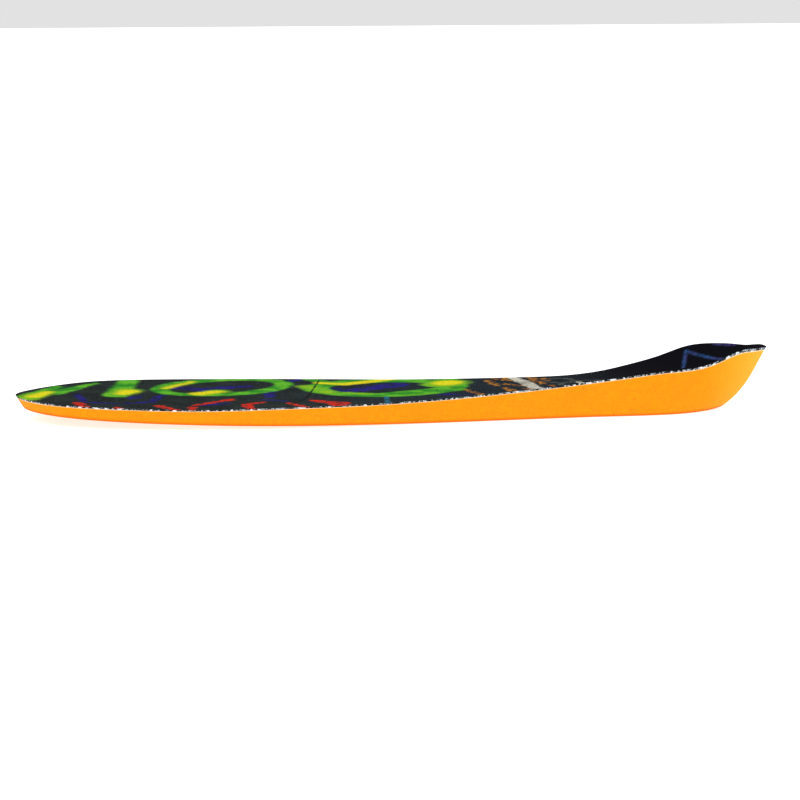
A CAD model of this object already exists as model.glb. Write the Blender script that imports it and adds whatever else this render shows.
import bmesh
import bpy
import math
import numpy as np
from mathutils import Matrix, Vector
from mathutils.bvhtree import BVHTree


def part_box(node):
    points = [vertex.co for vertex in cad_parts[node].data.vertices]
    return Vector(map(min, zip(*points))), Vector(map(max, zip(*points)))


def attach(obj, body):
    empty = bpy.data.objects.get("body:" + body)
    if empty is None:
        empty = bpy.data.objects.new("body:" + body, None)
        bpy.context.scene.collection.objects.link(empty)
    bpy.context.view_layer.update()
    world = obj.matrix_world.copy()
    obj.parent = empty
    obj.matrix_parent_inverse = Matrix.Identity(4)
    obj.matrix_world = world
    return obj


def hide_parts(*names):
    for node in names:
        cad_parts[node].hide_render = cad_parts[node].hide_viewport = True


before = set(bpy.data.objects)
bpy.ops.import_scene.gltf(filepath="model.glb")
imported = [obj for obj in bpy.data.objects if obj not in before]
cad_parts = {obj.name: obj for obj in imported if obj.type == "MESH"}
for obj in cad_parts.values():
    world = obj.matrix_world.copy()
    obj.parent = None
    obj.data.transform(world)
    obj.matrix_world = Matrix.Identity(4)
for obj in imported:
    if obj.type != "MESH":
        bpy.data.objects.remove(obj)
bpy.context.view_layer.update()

print("frame loaded:", ", ".join(sorted(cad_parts)))


# Small helpers

def colour(hexCode):
    # sRGB hex to the linear colour that Blender uses
    parts = [int(hexCode[i:i + 2], 16) / 255 for i in (1, 3, 5)]
    return (*[p / 12.92 if p <= 0.04045 else ((p + 0.055) / 1.055) ** 2.4 for p in parts], 1.0)


def addNode(tree, kind, settings=None, links=None, out=0):
    # links holds, for each input, a plain value or the socket that feeds it.
    # The result is the output socket out, or the node itself where out is None
    node = tree.nodes.new(kind)
    for name, value in (settings or {}).items():
        setattr(node, name, value)
    for name, value in (links or {}).items():
        if isinstance(value, bpy.types.NodeSocket):
            tree.links.new(value, node.inputs[name])
        else:
            node.inputs[name].default_value = value
    return node if out is None or not node.outputs else node.outputs[out]


def patches(tree, place, scale, low, high, detail=2.0):
    # cloudy patches, 0 where the noise is under low and 1 where it is over high
    cloud = addNode(tree, "ShaderNodeTexNoise", None, {"Vector": place, "Scale": scale, "Detail": detail})
    return addNode(tree, "ShaderNodeMapRange", {"interpolation_type": "SMOOTHSTEP"},
                   {"Value": cloud, "From Min": low, "From Max": high})


def tint(tree, tone, mask, strength, hexCode):
    # lays one colour over the tone so far, where the mask is
    amount = addNode(tree, "ShaderNodeMath", {"operation": "MULTIPLY"}, {0: mask, 1: strength})
    layers = {0: amount, 6: tone, 7: colour(hexCode)}
    return addNode(tree, "ShaderNodeMix", {"data_type": "RGBA"}, layers, 2)


def newMaterial(name, finish):
    # finish holds the shader's plain values. The rest is linked by the maker
    material = bpy.data.materials.new(name)
    material.use_nodes = True
    tree = material.node_tree
    tree.nodes.clear()
    place = addNode(tree, "ShaderNodeTexCoord", None, None, "Object")
    shader = addNode(tree, "ShaderNodeBsdfPrincipled", None, finish, None)
    addNode(tree, "ShaderNodeOutputMaterial", None, {"Surface": shader.outputs[0]})
    return material, tree, place, shader


bumpStrength = 0.7


def dress(tree, shader, tone, relief, depth):
    # colour and a bump of the given depth in metres
    tree.links.new(tone, shader.inputs["Base Color"])
    bump = addNode(tree, "ShaderNodeBump", None,
                   {"Height": relief, "Distance": depth, "Strength": bumpStrength})
    tree.links.new(bump, shader.inputs["Normal"])


def meshPiece(name, points, faces, materials):
    mesh = bpy.data.meshes.new(name)
    mesh.from_pydata(points, [], faces)
    mesh.validate()
    tidy = bmesh.new()
    tidy.from_mesh(mesh)
    bmesh.ops.recalc_face_normals(tidy, faces=tidy.faces)
    tidy.to_mesh(mesh)
    tidy.free()
    piece = bpy.data.objects.new(name, mesh)
    bpy.context.scene.collection.objects.link(piece)
    for material in materials:
        mesh.materials.append(material)
    for polygon in mesh.polygons:
        polygon.use_smooth = True
    return piece


weldGap = 2e-6  # points this close become one
thinnestEdge = 1e-7


def weld(piece):
    # closes a skin along its middle line
    tidy = bmesh.new()
    tidy.from_mesh(piece.data)
    bmesh.ops.remove_doubles(tidy, verts=tidy.verts, dist=weldGap)
    bmesh.ops.dissolve_degenerate(tidy, edges=tidy.edges, dist=thinnestEdge)
    bmesh.ops.recalc_face_normals(tidy, faces=tidy.faces)
    tidy.to_mesh(piece.data)
    tidy.free()


# The CAD solids' surfaces, which the soft pieces are laid over

def treeOf(nodeName):
    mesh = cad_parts[nodeName].data
    points = [v.co.copy() for v in mesh.vertices]
    return BVHTree.FromPolygons(points, [tuple(p.vertices) for p in mesh.polygons])


solids = {name: treeOf(name) for name in ("foam_body", "cover_adhesive", "top_cover")}
up = Vector((0, 0, 1))
rays = {  # where the rays start, clear of the insole
    "above": 0.1,
    "below": -0.05,
    "beside": 0.09,
    "inset": 0.9995,  # a ray that just misses the rim is cast again at this share of its x and y
}


def heightFromAbove(name, x, y):
    hit = solids[name].ray_cast(Vector((x, y, rays["above"])), -up)[0]
    return None if hit is None else hit.z


def heightFromBelow(name, x, y):
    hit = solids[name].ray_cast(Vector((x, y, rays["below"])), up)[0]
    return None if hit is None else hit.z


# Spokes that fan out from the insole's long middle line, so that one grid of rings follows its outline
layout = {
    "toeCentre": -0.098,
    "heelCentre": 0.1008,
    "sideSpokes": 280,
    "endSpokes": 170,
    "shortest": 0.02,
    "longest": 0.06,
    "halvings": 22,
    "margin": 2e-6,
}


def makeSpokes():
    toe, heel = layout["toeCentre"], layout["heelCentre"]
    sides, ends = layout["sideSpokes"], layout["endSpokes"]
    spokes = []
    for i in range(sides):
        spokes.append((toe + (heel - toe) * i / sides, 0.0, 1.0))
    for i in range(ends):
        angle = math.pi / 2 - math.pi * i / ends
        spokes.append((heel, math.cos(angle), math.sin(angle)))
    for i in range(sides):
        spokes.append((heel + (toe - heel) * i / sides, 0.0, -1.0))
    for i in range(ends):
        angle = -math.pi / 2 - math.pi * i / ends
        spokes.append((toe, math.cos(angle), math.sin(angle)))
    return spokes


spokes = makeSpokes()


def reachOf(test):
    # how far out along each spoke the test still holds
    reaches = []
    for x, dirX, dirY in spokes:
        near, far = layout["shortest"], layout["longest"]
        for _ in range(layout["halvings"]):
            middle = (near + far) / 2
            if test(x + dirX * middle, dirY * middle):
                near = middle
            else:
                far = middle
        reaches.append(near - layout["margin"])
    return reaches


# Foam body: one skin over the underside, the cut wall and the footbed, with a pocket for each pad
foam = {
    "toeTip": -0.14,
    "springStart": 0.0252,
    "toeSpring": 0.0042,
    "underRings": 14,
    "underPacking": 0.7,  # below 1 the rings lie closer together towards the wall
    "wallFoot": 0.01,
    "wallStart": 0.12,
    "wallSpan": 0.873,
    "wallRings": 12,
    "wallNudge": 0.00002,
    "topRings": 26,
    "topPacking": 1.25,  # above 1 they lie closer together towards the rim
    "footRounding": 0.0005,
    "footStep": 0.00012,
    "padGap": 0.0005,
    "sharpAngle": 32,
}
springLength = foam["springStart"] - foam["toeTip"]
springRadius = (springLength ** 2 + foam["toeSpring"] ** 2) / (2 * foam["toeSpring"])


def underside(x, y=0.0):
    ahead = max(foam["springStart"] - x, 0.0)
    return springRadius - math.sqrt(springRadius ** 2 - ahead ** 2)


def liesUnder(x, y):
    z = heightFromBelow("foam_body", x, y)
    return z is not None and z < underside(x) + foam["footStep"]


foamRim = reachOf(lambda x, y: heightFromAbove("foam_body", x, y) is not None)
glueRim = reachOf(lambda x, y: heightFromAbove("cover_adhesive", x, y) is not None)
coverRim = reachOf(lambda x, y: heightFromAbove("top_cover", x, y) is not None)
foamFoot = reachOf(liesUnder)
print("outlines found along", len(spokes), "spokes")


def ring(reaches, share, height):
    # one closed ring of points: share scales the spokes, and height gives Z from x and y
    points = []
    for (x, dirX, dirY), reach in zip(spokes, reaches):
        px, py = x + dirX * reach * share, dirY * reach * share
        points.append((px, py, height(px, py)))
    return points


def skin(rings):
    # joins rings of points into a grid of faces
    count = len(spokes)
    points = [p for r in rings for p in r]
    faces = []
    for k in range(len(rings) - 1):
        for i in range(count):
            j = (i + 1) % count
            faces.append((k * count + i, k * count + j, (k + 1) * count + j, (k + 1) * count + i))
    return points, faces


def spread(count, power=1.0):
    return [(i / count) ** power for i in range(count + 1)]


# Materials

def mouldedFoam():
    # moulded PU foam: matt orange with a fine mottle and sparse pores, paler at the heel, and darker
    # on the underside and at the foot of the wall
    finish = {"Roughness": 0.8, "Specular IOR Level": 0.15}
    material, tree, place, shader = newMaterial("moulded orange PU foam", finish)
    mottle = patches(tree, place, 520.0, 0.3, 0.7, 4.0)
    tone = tint(tree, colour("#FF8E00"), mottle, 0.6, "#FF9900")
    tone = tint(tree, tone, patches(tree, place, 1400.0, 0.48, 0.70), 0.5, "#EE7C00")
    tone = tint(tree, tone, patches(tree, place, 45.0, 0.5, 0.75), 0.4, "#FF8600")
    tone = tint(tree, tone, patches(tree, place, 560.0, 0.735, 0.79, 1.0), 0.7, "#DE5F08")
    along = addNode(tree, "ShaderNodeSeparateXYZ", None, {0: place})
    paler = addNode(tree, "ShaderNodeMapRange", None, {"Value": along, "From Min": 0.112, "From Max": 0.140})
    tone = tint(tree, tone, paler, 0.8, "#FFB428")
    rise = addNode(tree, "ShaderNodeAttribute", {"attribute_name": "rise"}, None, "Fac")
    nearFoot = addNode(tree, "ShaderNodeMapRange", None, {"Value": rise, "From Min": 1.3, "From Max": 0.3})
    tone = tint(tree, tone, nearFoot, 0.75, "#EA5A00")
    cells = addNode(tree, "ShaderNodeTexVoronoi", None, {"Vector": place, "Scale": 1300.0})
    dress(tree, shader, tone, cells, 0.00006)
    return material


# The print: loose sprayed loops and strokes, in millimetres on the insole seen from above.
# A stroke is start, end and half width at each. A loop is centre, radii, turn in degrees and half width.
# blur is how soft an ink's border is, ragged how far it wanders, and worn is where it breaks up,
# as shares of a noise
sprayPrint = {
    "violet": {
        "colour": "#2A1B9A", "mottle": "#1C1664",
        "blur": 0.9, "ragged": 6.5, "worn": (0.36, 0.52), "strength": 1.0,
        "strokes": [
            ((-118, -4), (-116, -24), 1.2, 1.4),
            ((-116, -24), (-104, -28), 1.4, 1.2),
            ((-104, -28), (-92, -22), 1.2, 1.6),
            ((-92, -22), (-87, -3), 1.6, 1.2),
            ((-96, -8), (-99, -14), 2.4, 1.2),
            ((-45, 15), (-47, -5), 2.6, 1.8),
            ((-74, -31), (-65, -25), 1.6, 2.2),
            ((-50, -13), (-43, -17), 1.4, 1.4),
            ((-82, 20), (-70, 13), 4.0, 4.0),
            ((-66, 18), (-53, 24), 3.0, 2.4),
            ((-20, 18), (-19, 11), 2.6, 2.8),
            ((-14, 12), (4, 26), 3.8, 5.4),
            ((-34, 40), (-31, 44), 1.8, 1.8),
            ((18, -4), (27, -8), 1.6, 1.2),
        ],
    },
    "green": {
        "colour": "#2F9A22", "mottle": "#6CCB2E",
        "blur": 1.3, "ragged": 3.2, "worn": (0.12, 0.34), "strength": 1.0,
        "strokes": [
            ((-137, -14), (-124, 17), 4.6, 2.2),
            ((-126, 0), (-109, 27), 4.0, 1.2),
            ((-104, -6), (-94, 46), 4.6, 3.4),
            ((-19, 30), (-27, 46), 3.4, 3.0),
            ((-3, -1), (22, 10), 5.5, 6.5),
            ((20, 22), (27, 44), 6.0, 3.5),
        ],
        "loops": [
            ((-62, 21.5), (28, 17), 40, 3.8),
            ((-1, 19), (26.5, 20), 8, 5.2),
        ],
    },
    "glow": {
        "colour": "#A6DC1E", "mottle": "#7FCB25",
        "blur": 2.6, "ragged": 3.0, "worn": (0.12, 0.34), "strength": 0.85,
        "strokes": [
            ((22, 25), (25, 29), 8.0, 8.0),
            ((-30, 24), (-24, 8), 3.6, 3.6),
            ((-137, -16), (-131, -2), 4.0, 4.0),
            ((-16, 5), (-10, 3), 2.6, 2.2),
            ((-103, -4), (-98, 9), 4.0, 5.0),
            ((-72, 1), (-64, 10), 3.8, 3.8),
        ],
    },
    "yellow": {
        "colour": "#FFF51A", "mottle": "#FDEB1A",
        "blur": 1.8, "ragged": 3.4, "worn": (0.08, 0.26), "strength": 1.0,
        "strokes": [
            ((-134, -10), (-128, 3), 2.8, 2.0),
            ((-101, -1), (-97.5, 7), 2.6, 3.6),
            ((-84, 16), (-72, 36), 1.5, 1.2),
            ((-73, 2), (-65, 9), 3.2, 2.6),
            ((-24, 34), (-15, 30), 2.2, 3.0),
            ((-15, 30), (4, 43), 3.0, 2.4),
            ((23, 26), (25, 29), 4.8, 5.2),
        ],
    },
    "teal": {
        "colour": "#2F8FB0", "mottle": "#27708F",
        "blur": 0.4, "ragged": 1.0, "worn": (0.42, 0.56), "strength": 0.9,
        "strokes": [
            ((-3.5, -4), (-8, -44), 0.9, 1.2),
            ((19, -22), (16, -42), 0.8, 1.0),
        ],
    },
    "frost": {
        "colour": "#3C6FB4", "mottle": "#5B4F9E",
        "blur": 0.7, "ragged": 1.2, "worn": (0.25, 0.55), "strength": 0.75,
        "strokes": [
            ((116, 27), (125, 15), 0.5, 0.5),
            ((125, 15), (133, 6), 0.5, 0.5),
            ((116, 27), (113, 18), 0.7, 0.5),
            ((118, 30), (122, 31), 1.0, 0.8),
            ((126, 24), (133, 17), 0.4, 0.4),
        ],
    },
    "amber": {
        "colour": "#E59A2C", "mottle": "#B86C1C",
        "blur": 0.6, "ragged": 5.0, "worn": (0.46, 0.56), "strength": 1.0,
        "strokes": [
            ((40, 30), (41, 15), 1.6, 1.4),
            ((42, 38), (48, 28), 1.8, 2.0),
            ((44, 18), (50, 12), 1.6, 1.6),
            ((48, 36), (51, 26), 2.0, 1.8),
            ((57, 36), (58, 13), 1.9, 1.5),
            ((61, 29), (62, 22), 1.4, 1.4),
            ((28, 7), (33, -18), 1.2, 1.5),
            ((43, 7), (45, -6), 1.8, 1.8),
            ((45, -6), (36, -17), 1.7, 1.4),
            ((50, 3), (53, -4), 1.6, 1.2),
            ((38, -33), (48, -40), 1.8, 2.0),
            ((61, 9), (62, 2), 1.2, 1.2),
        ],
    },
    "smoke": {
        "colour": "#8E968C", "mottle": "#59605C",
        "blur": 0.9, "ragged": 2.4, "worn": (0.40, 0.62), "strength": 0.5,
        "loops": [
            ((74, 9), (9.5, 9.0), 0, 1.3),
            ((66, 21), (5, 7), 20, 1.1),
        ],
    },
    "chalk": {
        "colour": "#E8E4D2", "mottle": "#BDB9A8",
        "blur": 0.6, "ragged": 3.0, "worn": (0.30, 0.46), "strength": 1.0,
        "strokes": [
            ((50, 38), (52.5, 20), 1.7, 2.6),
            ((52.5, 20), (55, -9), 2.6, 2.4),
            ((72, 15), (74, 9), 0.9, 1.4),
            ((74, 9), (78, 4), 1.4, 1.8),
            ((47, -38), (51, -41), 1.8, 1.8),
        ],
    },
    "red": {
        "colour": "#FF2E10", "mottle": "#E2270F",
        "blur": 0.5, "ragged": 5.6, "worn": (0.40, 0.50), "strength": 1.0,
        "strokes": [
            ((-62, -13), (-69, -21), 1.9, 1.5),
            ((-69, -21), (-77, -31), 1.7, 1.1),
            ((-52, -22), (-58, -29), 1.4, 1.8),
            ((-58, -29), (-58, -45), 1.9, 1.6),
            ((-42, -25), (-38, -45), 1.2, 1.6),
            ((-32, -16), (-25, -31), 2.2, 1.8),
            ((-32, -16), (-21, -27), 2.0, 1.8),
            ((-21, -27), (-26, -46), 1.8, 2.0),
            ((-27, -30), (-27, -46), 1.2, 1.9),
            ((-90, -33), (-85, -44), 1.9, 1.9),
            ((-78, -36), (-79, -44), 1.4, 1.3),
            ((-119, -26), (-117, -36), 1.9, 1.9),
            ((-106, -38), (-103, -43), 1.5, 1.5),
        ],
    },
    "crack": {
        "colour": "#050505", "mottle": "#0B0B0B",
        "blur": 0.3, "ragged": 0.8, "worn": (0.0, 0.1), "strength": 1.0,
        "strokes": [
            ((-22, 47), (-33, -5), 0.3, 0.45),
            ((-33, -5), (-47, -47), 0.45, 0.35),
        ],
    },
}


def strokeGap(spots, stroke):
    # distance from each spot to the edge of a tapered stroke, below 0 inside it
    start, end = np.array(stroke[0], float), np.array(stroke[1], float)
    along = end - start
    share = np.clip((spots - start) @ along / (along @ along), 0, 1)
    gap = np.linalg.norm(spots - start - share[:, None] * along, axis=1)
    return gap - (stroke[2] + (stroke[3] - stroke[2]) * share)


def loopGap(spots, loop):
    # distance from each spot to the edge of a band along a turned ellipse
    centre, radii, turn, width = loop
    angle = math.radians(turn)
    away = spots - np.array(centre, float)
    turned = away @ np.array([[math.cos(angle), -math.sin(angle)], [math.sin(angle), math.cos(angle)]])
    size = np.maximum(np.linalg.norm(turned / np.array(radii, float), axis=1), 0.05)
    return np.abs(np.linalg.norm(turned, axis=1) * (1 - 1 / size)) - width


def pointsOf(piece):
    coords = np.empty(len(piece.data.vertices) * 3)
    piece.data.vertices.foreach_get("co", coords)
    return coords.reshape(-1, 3)


def paint(piece):
    # stores on the cloth, for each ink, the distance in millimetres to its nearest mark
    spots = pointsOf(piece)[:, :2] * 1000
    for ink, marks in sprayPrint.items():
        gaps = [strokeGap(spots, stroke) for stroke in marks.get("strokes", [])]
        gaps += [loopGap(spots, loop) for loop in marks.get("loops", [])]
        layer = piece.data.attributes.new(ink, "FLOAT", "POINT")
        layer.data.foreach_set("value", np.minimum.reduce(gaps))


def printedKnit():
    # fine polyester knit, matt and near black, with a print that sinks into its grain
    finish = {"Roughness": 0.95, "Specular IOR Level": 0.05}
    material, tree, place, shader = newMaterial("printed polyester knit", finish)
    flat = addNode(tree, "ShaderNodeVectorMath", {"operation": "MULTIPLY"}, {0: place, 1: (1.0, 1.0, 0.0)})
    speckle = addNode(tree, "ShaderNodeTexNoise", None,
                      {"Vector": flat, "Scale": 520.0, "Detail": 3.0, "Roughness": 0.7})
    wander = addNode(tree, "ShaderNodeTexNoise", None,
                     {"Vector": flat, "Scale": 230.0, "Detail": 4.0, "Roughness": 0.65})
    wander = addNode(tree, "ShaderNodeMath", {"operation": "SUBTRACT"}, {0: wander, 1: 0.5})
    blotches = patches(tree, flat, 110.0, 0.40, 0.62, 3.0)
    along = addNode(tree, "ShaderNodeSeparateXYZ", None, {0: flat})
    tone = tint(tree, colour("#19211F"), patches(tree, flat, 70.0, 0.35, 0.65, 4.0), 1.0, "#26302C")
    midfoot = addNode(tree, "ShaderNodeMapRange", None, {"Value": along, "From Min": -0.05, "From Max": 0.02})
    tone = tint(tree, tone, midfoot, 0.7, "#182634")
    tone = tint(tree, tone, patches(tree, flat, 620.0, 0.52, 0.75, 3.0), 0.55, "#40525A")
    heel = addNode(tree, "ShaderNodeMapRange", None, {"Value": along, "From Min": 0.056, "From Max": 0.088})
    tone = tint(tree, tone, heel, 1.0, "#0C0C14")
    for ink, look in sprayPrint.items():
        gap = addNode(tree, "ShaderNodeAttribute", {"attribute_name": ink}, None, "Fac")
        gap = addNode(tree, "ShaderNodeMath", {"operation": "MULTIPLY_ADD"},
                      {0: wander, 1: look["ragged"], 2: gap})
        inside = addNode(tree, "ShaderNodeMapRange", {"interpolation_type": "SMOOTHSTEP"},
                         {"Value": gap, "From Min": look["blur"], "From Max": -look["blur"]})
        kept = addNode(tree, "ShaderNodeMapRange", None,
                       {"Value": speckle, "From Min": look["worn"][0], "From Max": look["worn"][1]})
        laid = addNode(tree, "ShaderNodeMath", {"operation": "MULTIPLY"}, {0: inside, 1: kept})
        inked = tint(tree, colour(look["colour"]), blotches, 1.0, look["mottle"])
        amount = addNode(tree, "ShaderNodeMath", {"operation": "MULTIPLY"}, {0: laid, 1: look["strength"]})
        tone = addNode(tree, "ShaderNodeMix", {"data_type": "RGBA"}, {0: amount, 6: tone, 7: inked}, 2)
    tone = tint(tree, tone, patches(tree, flat, 1100.0, 0.60, 0.30), 0.35, "#0A0C10")
    # loops of the knit, 0.75 by 0.95 mm, coarser than real ones so that they show
    courses = addNode(tree, "ShaderNodeTexWave", {"bands_direction": "Y"},
                      {"Vector": flat, "Scale": 420.0, "Distortion": 0.6})
    wales = addNode(tree, "ShaderNodeTexWave", {"bands_direction": "X"},
                    {"Vector": flat, "Scale": 330.0, "Distortion": 0.6})
    weave = addNode(tree, "ShaderNodeMath", {"operation": "MULTIPLY"}, {0: courses, 1: wales})
    dress(tree, shader, tone, weave, 0.00012)
    return material


def cutKnit():
    # the knit's cut edge: the print's black between bare white yarn
    finish = {"Roughness": 0.9, "Specular IOR Level": 0.05}
    material, tree, place, shader = newMaterial("cut edge of the knit", finish)
    tone = tint(tree, colour("#141A1C"), patches(tree, place, 900.0, 0.48, 0.62, 3.0), 1.0, "#9DABB4")
    tone = tint(tree, tone, patches(tree, place, 620.0, 0.56, 0.64), 1.0, "#E4ECF2")
    dress(tree, shader, tone, patches(tree, place, 900.0, 0.4, 0.7, 3.0), 0.0002)
    return material


def bareYarn():
    # undyed polyester filament: white, with a cool shade where it lies deep
    finish = {"Roughness": 0.7, "Specular IOR Level": 0.2}
    material, tree, place, shader = newMaterial("undyed polyester yarn", finish)
    tone = tint(tree, colour("#8FA6BC"), patches(tree, place, 480.0, 0.36, 0.52), 1.0, "#FFFFFF")
    dress(tree, shader, tone, patches(tree, place, 2000.0, 0.3, 0.7), 0.00003)
    return material


def glueFilm():
    # hot-melt film: milky and smooth, a hairline at the cut edge
    material, tree, place, shader = newMaterial("milky hot-melt film", {"Roughness": 0.45})
    tone = tint(tree, colour("#E6C48E"), patches(tree, place, 300.0, 0.35, 0.65), 1.0, "#F0DDB6")
    dress(tree, shader, tone, patches(tree, place, 600.0, 0.3, 0.7), 0.00003)
    return material


def denseFoam():
    # dense closed-cell foam: charcoal and matt, with a fine skin
    finish = {"Roughness": 0.75, "Specular IOR Level": 0.3}
    material, tree, place, shader = newMaterial("charcoal dense foam", finish)
    tone = tint(tree, colour("#2B3038"), patches(tree, place, 200.0, 0.35, 0.65, 3.0), 1.0, "#383E47")
    cells = addNode(tree, "ShaderNodeTexVoronoi", None, {"Vector": place, "Scale": 1500.0})
    dress(tree, shader, tone, cells, 0.00006)
    return material


finishes = {
    "foam": mouldedFoam(),
    "knit": printedKnit(),
    "cut": cutKnit(),
    "yarn": bareYarn(),
    "glue": glueFilm(),
    "pad": denseFoam(),
}
print("materials made")


def surfaceOf(name, heightFrom):
    def height(x, y):
        z = heightFrom(name, x, y)
        return z if z is not None else heightFrom(name, x * rays["inset"], y * rays["inset"])
    return height


def wallRing(share):
    # a ring part of the way up the cut wall: 0 at its foot and 1 at the rim
    points = []
    for (x, dirX, dirY), foot, rim in zip(spokes, foamFoot, foamRim):
        low = underside(x + dirX * foot)
        high = heightFromAbove("foam_body", x + dirX * rim, dirY * rim)
        z = low + (high - low) * share
        hit = None
        while hit is None:
            start = Vector((x + dirX * rays["beside"], dirY * rays["beside"], z))
            hit = solids["foam_body"].ray_cast(start, Vector((-dirX, -dirY, 0)))[0]
            z += foam["wallNudge"]  # a ray that passes under the foot is tried again a little higher
        points.append(tuple(hit))
    return points


def makeFoamBody():
    rounding = foam["footRounding"]
    inner = [foot - rounding for foot in foamFoot]
    rings = [ring(inner, share, underside) for share in spread(foam["underRings"], foam["underPacking"])]
    foot = wallRing(foam["wallFoot"])
    above = wallRing(foam["wallStart"])
    corner = []
    for a, b, c in zip(rings[-1], foot, above):
        corner.append(tuple(0.25 * a[i] + 0.5 * b[i] + 0.25 * (b[i] + (c[i] - b[i]) * 0.5) for i in range(3)))
    rings.append(corner)
    rings += [wallRing(foam["wallStart"] + foam["wallSpan"] * share) for share in spread(foam["wallRings"])]
    footbed = surfaceOf("foam_body", heightFromAbove)
    rings += [ring(foamRim, 1 - share, footbed) for share in spread(foam["topRings"], foam["topPacking"])]
    points, faces = skin(rings)
    body = meshPiece("foam_body_soft", points, faces, [finishes["foam"]])
    weld(body)
    return body


def ovalGrid(name, box, grow, low, high, rounding, materials, segments=120):
    # a closed oval block: low and high give the height of its faces, and its lower edge is rounded
    centreX, centreY = (box[0].x + box[1].x) / 2, (box[0].y + box[1].y) / 2
    radiusX, radiusY = (box[1].x - box[0].x) / 2 + grow, (box[1].y - box[0].y) / 2 + grow
    profile = [(share * (1 - rounding / radiusX), 0.0, 0) for share in (0.25, 0.5, 0.75, 0.9)]
    for i in range(5):
        angle = math.pi / 2 * i / 4
        profile.append((1 - rounding / radiusX * (1 - math.sin(angle)), rounding * (1 - math.cos(angle)), 0))
    profile += [(1.0, 0.0, 1), (0.6, 0.0, 1), (0.3, 0.0, 1)]
    points = [(centreX, centreY, low(centreX))]
    for share, lift, side in profile:
        for k in range(segments):
            angle = 2 * math.pi * k / segments
            x = centreX + radiusX * share * math.cos(angle)
            y = centreY + radiusY * share * math.sin(angle)
            points.append((x, y, (high(x) if side else low(x)) + lift))
    points.append((centreX, centreY, high(centreX)))
    faces = []
    last = len(profile) - 1
    for k in range(segments):
        j = (k + 1) % segments
        faces.append((0, 1 + j, 1 + k))
        faces.append((len(points) - 1, 1 + last * segments + k, 1 + last * segments + j))
        for r in range(last):
            here, beyond = 1 + r * segments, 1 + (r + 1) * segments
            faces.append((here + k, here + j, beyond + j, beyond + k))
    return meshPiece(name, points, faces, materials)


foamBody = makeFoamBody()
pads = {
    "heel_pad": {"thickness": 0.003, "glue": 0.00015},
    "forefoot_pad": {"thickness": 0.002, "glue": 0.00015},
}
padEdges = {
    "cutBelow": 0.002,  # how far the cutter reaches out of the underside
    "pocketRounding": 0.0002,
    "padRounding": 0.0006,
}
for name, pad in pads.items():
    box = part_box(name)
    deep = pad["thickness"] + pad["glue"]
    pocket = ovalGrid(name + "_pocket", box, foam["padGap"], lambda x: underside(x) - padEdges["cutBelow"],
                      lambda x: underside(x) + deep, padEdges["pocketRounding"], [finishes["foam"]])
    cut = foamBody.modifiers.new(name, "BOOLEAN")
    cut.operation, cut.solver, cut.object = "DIFFERENCE", "EXACT", pocket
    shaped = bpy.data.meshes.new_from_object(foamBody.evaluated_get(bpy.context.evaluated_depsgraph_get()))
    foamBody.modifiers.clear()
    foamBody.data = shaped
    bpy.data.objects.remove(pocket)
    piece = ovalGrid(name + "_soft", box, 0.0, underside, lambda x: underside(x) + pad["thickness"],
                     padEdges["padRounding"], [finishes["pad"]])
    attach(piece, "root")
    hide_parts(name)
    print(name, "cut into the foam,", len(foamBody.data.polygons), "faces")
spots = pointsOf(foamBody)
rise = foamBody.data.attributes.new("rise", "FLOAT", "POINT")  # millimetres above the underside
rise.data.foreach_set("value", (spots[:, 2] - np.array([underside(x) for x in spots[:, 0]])) * 1000)
foamBody.data.set_sharp_from_angle(angle=math.radians(foam["sharpAngle"]))
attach(foamBody, "root")
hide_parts("foam_body")
print("foam body made")

# Cover: the knit's printed face, its cut edge and its back
cover = {
    "topRings": 62,
    "topPacking": 0.85,
    "edgeRings": 3,
    "backRings": 16,
    "sharpAngle": 35,
}


def makeCover():
    printed = surfaceOf("top_cover", heightFromAbove)
    rings = [ring(coverRim, share, printed) for share in spread(cover["topRings"], cover["topPacking"])]
    outer = rings[-1]
    inner = ring(glueRim, 1.0, surfaceOf("cover_adhesive", heightFromAbove))
    for k in range(1, cover["edgeRings"] + 1):
        share = k / cover["edgeRings"]
        rings.append([tuple(a[i] + (b[i] - a[i]) * share for i in range(3)) for a, b in zip(outer, inner)])
    back = surfaceOf("top_cover", heightFromBelow)
    rings += [ring(glueRim, 1 - share, back) for share in spread(cover["backRings"])[1:]]
    points, faces = skin(rings)
    piece = meshPiece("top_cover_cloth", points, faces, [finishes["knit"], finishes["cut"]])
    first = cover["topRings"] * len(spokes)
    for polygon in piece.data.polygons:
        polygon.material_index = 1 if polygon.index >= first else 0
    weld(piece)
    paint(piece)
    piece.data.set_sharp_from_angle(angle=math.radians(cover["sharpAngle"]))
    return piece, outer, inner


topCover, edgeTop, edgeBottom = makeCover()
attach(topCover, "root")
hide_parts("top_cover")
print("cover made,", len(topCover.data.polygons), "faces")

# Fringe: short loose yarn ends along the cut edge
fringe = {
    "density": 4200000.0,
    "fibreLength": 0.00085,
    "fibreRadius": 0.000045,
    "seed": 7,
    "middle": (0.25, 0, 0.6),  # the bend of a fibre one unit long
    "tip": (0.1, 0.3, 1.0),
    "lean": 1.0,
    "spin": 3.14,
    "tuftScale": 330.0,
}


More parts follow.
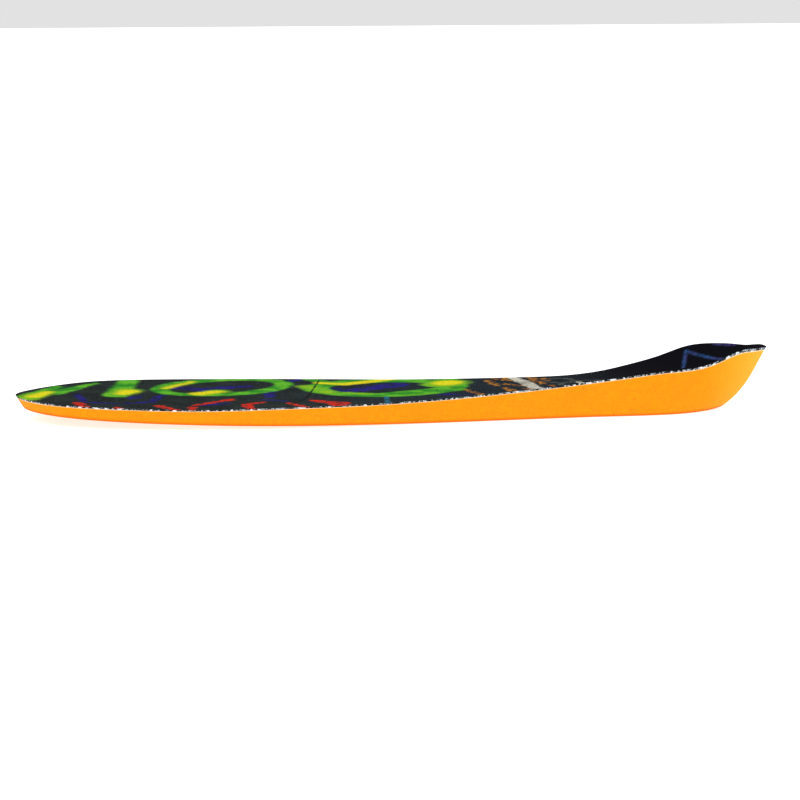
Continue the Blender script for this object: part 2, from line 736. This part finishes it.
def fringeTree():
    tree = bpy.data.node_groups.new("yarn ends along a cut edge", "GeometryNodeTree")
    tree.interface.new_socket("Edge", in_out="INPUT", socket_type="NodeSocketGeometry")
    for name in ("Density", "Fibre length", "Fibre radius"):
        tree.interface.new_socket(name, in_out="INPUT", socket_type="NodeSocketFloat")
    tree.interface.new_socket("Seed", in_out="INPUT", socket_type="NodeSocketInt")
    tree.interface.new_socket("Yarn", in_out="INPUT", socket_type="NodeSocketMaterial")
    tree.interface.new_socket("Fringe", in_out="OUTPUT", socket_type="NodeSocketGeometry")
    entry = addNode(tree, "NodeGroupInput", None, None, None).outputs
    scattered = {"Mesh": entry["Edge"], "Density": entry["Density"], "Seed": entry["Seed"]}
    scatter = addNode(tree, "GeometryNodeDistributePointsOnFaces", None, scattered, None).outputs
    bent = addNode(tree, "GeometryNodeCurveQuadraticBezier", None,
                   {"Resolution": 3, "Start": (0, 0, 0), "Middle": fringe["middle"], "End": fringe["tip"]})
    thickness = addNode(tree, "ShaderNodeMath", {"operation": "DIVIDE"},
                        {0: entry["Fibre radius"], 1: entry["Fibre length"]})
    section = addNode(tree, "GeometryNodeCurvePrimitiveCircle", None, {"Resolution": 3, "Radius": thickness})
    fibre = addNode(tree, "GeometryNodeCurveToMesh", None,
                    {"Curve": bent, "Profile Curve": section, "Fill Caps": True})
    lean, spin = fringe["lean"], fringe["spin"]
    lean = addNode(tree, "FunctionNodeRandomValue", {"data_type": "FLOAT_VECTOR"},
                   {0: (-lean, -lean, -spin), 1: (lean, lean, spin), "Seed": entry["Seed"]})
    facing = addNode(tree, "FunctionNodeRotateRotation", {"rotation_space": "LOCAL"},
                     {0: scatter["Rotation"], 1: lean})
    # long ends stand in tufts, and elsewhere the edge is nearly clean
    tufts = addNode(tree, "ShaderNodeTexNoise", None, {"Scale": fringe["tuftScale"], "Detail": 1.0})
    tufts = addNode(tree, "ShaderNodeMapRange", None,
                    {"Value": tufts, "From Min": 0.46, "From Max": 0.66, "To Min": 0.15, "To Max": 1.0})
    size = addNode(tree, "FunctionNodeRandomValue", {"data_type": "FLOAT"},
                   {2: 0.3, 3: 1.0, "Seed": entry["Seed"]}, 1)
    size = addNode(tree, "ShaderNodeMath", {"operation": "MULTIPLY"}, {0: size, 1: tufts})
    length = addNode(tree, "ShaderNodeMath", {"operation": "MULTIPLY"}, {0: size, 1: entry["Fibre length"]})
    placed = addNode(tree, "GeometryNodeInstanceOnPoints", None,
                     {"Points": scatter["Points"], "Instance": fibre, "Rotation": facing, "Scale": length})
    real = addNode(tree, "GeometryNodeRealizeInstances", None, {0: placed})
    dressed = addNode(tree, "GeometryNodeSetMaterial", None, {"Geometry": real, "Material": entry["Yarn"]})
    addNode(tree, "NodeGroupOutput", None, {"Fringe": dressed})
    return tree


def makeFringe():
    count = len(spokes)
    faces = [(i, (i + 1) % count, count + (i + 1) % count, count + i) for i in range(count)]
    strip = meshPiece("cut_edge_strip", [*edgeTop, *edgeBottom], faces, [finishes["cut"]])
    tree = fringeTree()
    grown = strip.modifiers.new("fringe", "NODES")
    grown.node_group = tree
    sockets = {item.name: item.identifier for item in tree.interface.items_tree if item.in_out == "INPUT"}
    values = {"Density": fringe["density"], "Fibre length": fringe["fibreLength"],
              "Fibre radius": fringe["fibreRadius"], "Seed": fringe["seed"], "Yarn": finishes["yarn"]}
    for socket, value in values.items():
        grown[sockets[socket]] = value
    mesh = bpy.data.meshes.new_from_object(strip.evaluated_get(bpy.context.evaluated_depsgraph_get()))
    piece = bpy.data.objects.new("yarn_fringe", mesh)
    bpy.context.scene.collection.objects.link(piece)
    bpy.data.objects.remove(strip)
    return piece


yarnFringe = makeFringe()
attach(yarnFringe, "root")
print("fringe made,", len(yarnFringe.data.polygons), "faces")

# Glue layers keep their CAD shape
for name in ("cover_adhesive", "heel_pad_adhesive", "forefoot_pad_adhesive"):
    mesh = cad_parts[name].data
    mesh.materials.clear()
    mesh.materials.append(finishes["glue"])

# Floor, light and camera
studio = {
    "floorSize": 6.0,
    "floorDrop": 0.0002,  # the floor lies just clear of the underside
    "floorGlow": 0.72,
    "worldStrength": 0.76,
}
lamps = {
    "key": {"place": (-0.5, -0.7, 1.1), "size": 0.9, "power": 2.2},
    "fill": {"place": (0.9, -0.9, 0.7), "size": 0.8, "power": 1.0},
}


def makeFloor():
    half, drop = studio["floorSize"] / 2, -studio["floorDrop"]
    finish = {"Roughness": 0.95, "Specular IOR Level": 0.0, "Emission Color": colour("#FFFFFF"),
              "Emission Strength": studio["floorGlow"]}
    material, tree, place, shader = newMaterial("back-lit white sheet", finish)
    tone = tint(tree, colour("#FCFCFC"), patches(tree, place, 5.0, 0.3, 0.7), 1.0, "#FFFFFF")
    tree.links.new(tone, shader.inputs["Base Color"])
    corners = [(-half, -half, drop), (half, -half, drop), (half, half, drop), (-half, half, drop)]
    return meshPiece("floor", corners, [(0, 1, 2, 3)], [material])


def areaLight(name, place, size, power):
    # aimed at the middle of the insole
    light = bpy.data.lights.new(name, "AREA")
    light.size, light.energy = size, power
    holder = bpy.data.objects.new(name, light)
    holder.location = place
    holder.rotation_euler = (-Vector(place)).to_track_quat("-Z", "Y").to_euler()
    bpy.context.scene.collection.objects.link(holder)


floor = makeFloor()
for name, lamp in lamps.items():
    areaLight(name, lamp["place"], lamp["size"], lamp["power"])
world = bpy.data.worlds.new("studio")
world.use_nodes = True
world.node_tree.nodes["Background"].inputs[0].default_value = colour("#FFFFFF")
world.node_tree.nodes["Background"].inputs[1].default_value = studio["worldStrength"]
bpy.context.scene.world = world
bpy.context.scene.view_settings.view_transform = "Standard"  # colours as the materials state them

shot = {
    "elevation": 8.1,
    "turn": 7.745,
    "distance": 1.5,
    "lens": 181.65,
    "sensor": 36.0,
    "shiftX": 0.00725,
    "shiftY": 0.0109,
}


def makeCamera():
    elevation, turn = math.radians(shot["elevation"]), math.radians(shot["turn"])
    flat = math.cos(elevation)
    looking = Vector((math.sin(turn) * flat, math.cos(turn) * flat, -math.sin(elevation)))
    camera = bpy.data.objects.new("camera", bpy.data.cameras.new("camera"))
    camera.data.lens = shot["lens"]
    camera.data.sensor_width = shot["sensor"]
    camera.data.shift_x, camera.data.shift_y = shot["shiftX"], shot["shiftY"]
    camera.location = -looking * shot["distance"]
    camera.rotation_euler = looking.to_track_quat("-Z", "Y").to_euler()
    bpy.context.scene.collection.objects.link(camera)
    bpy.context.scene.camera = camera


makeCamera()
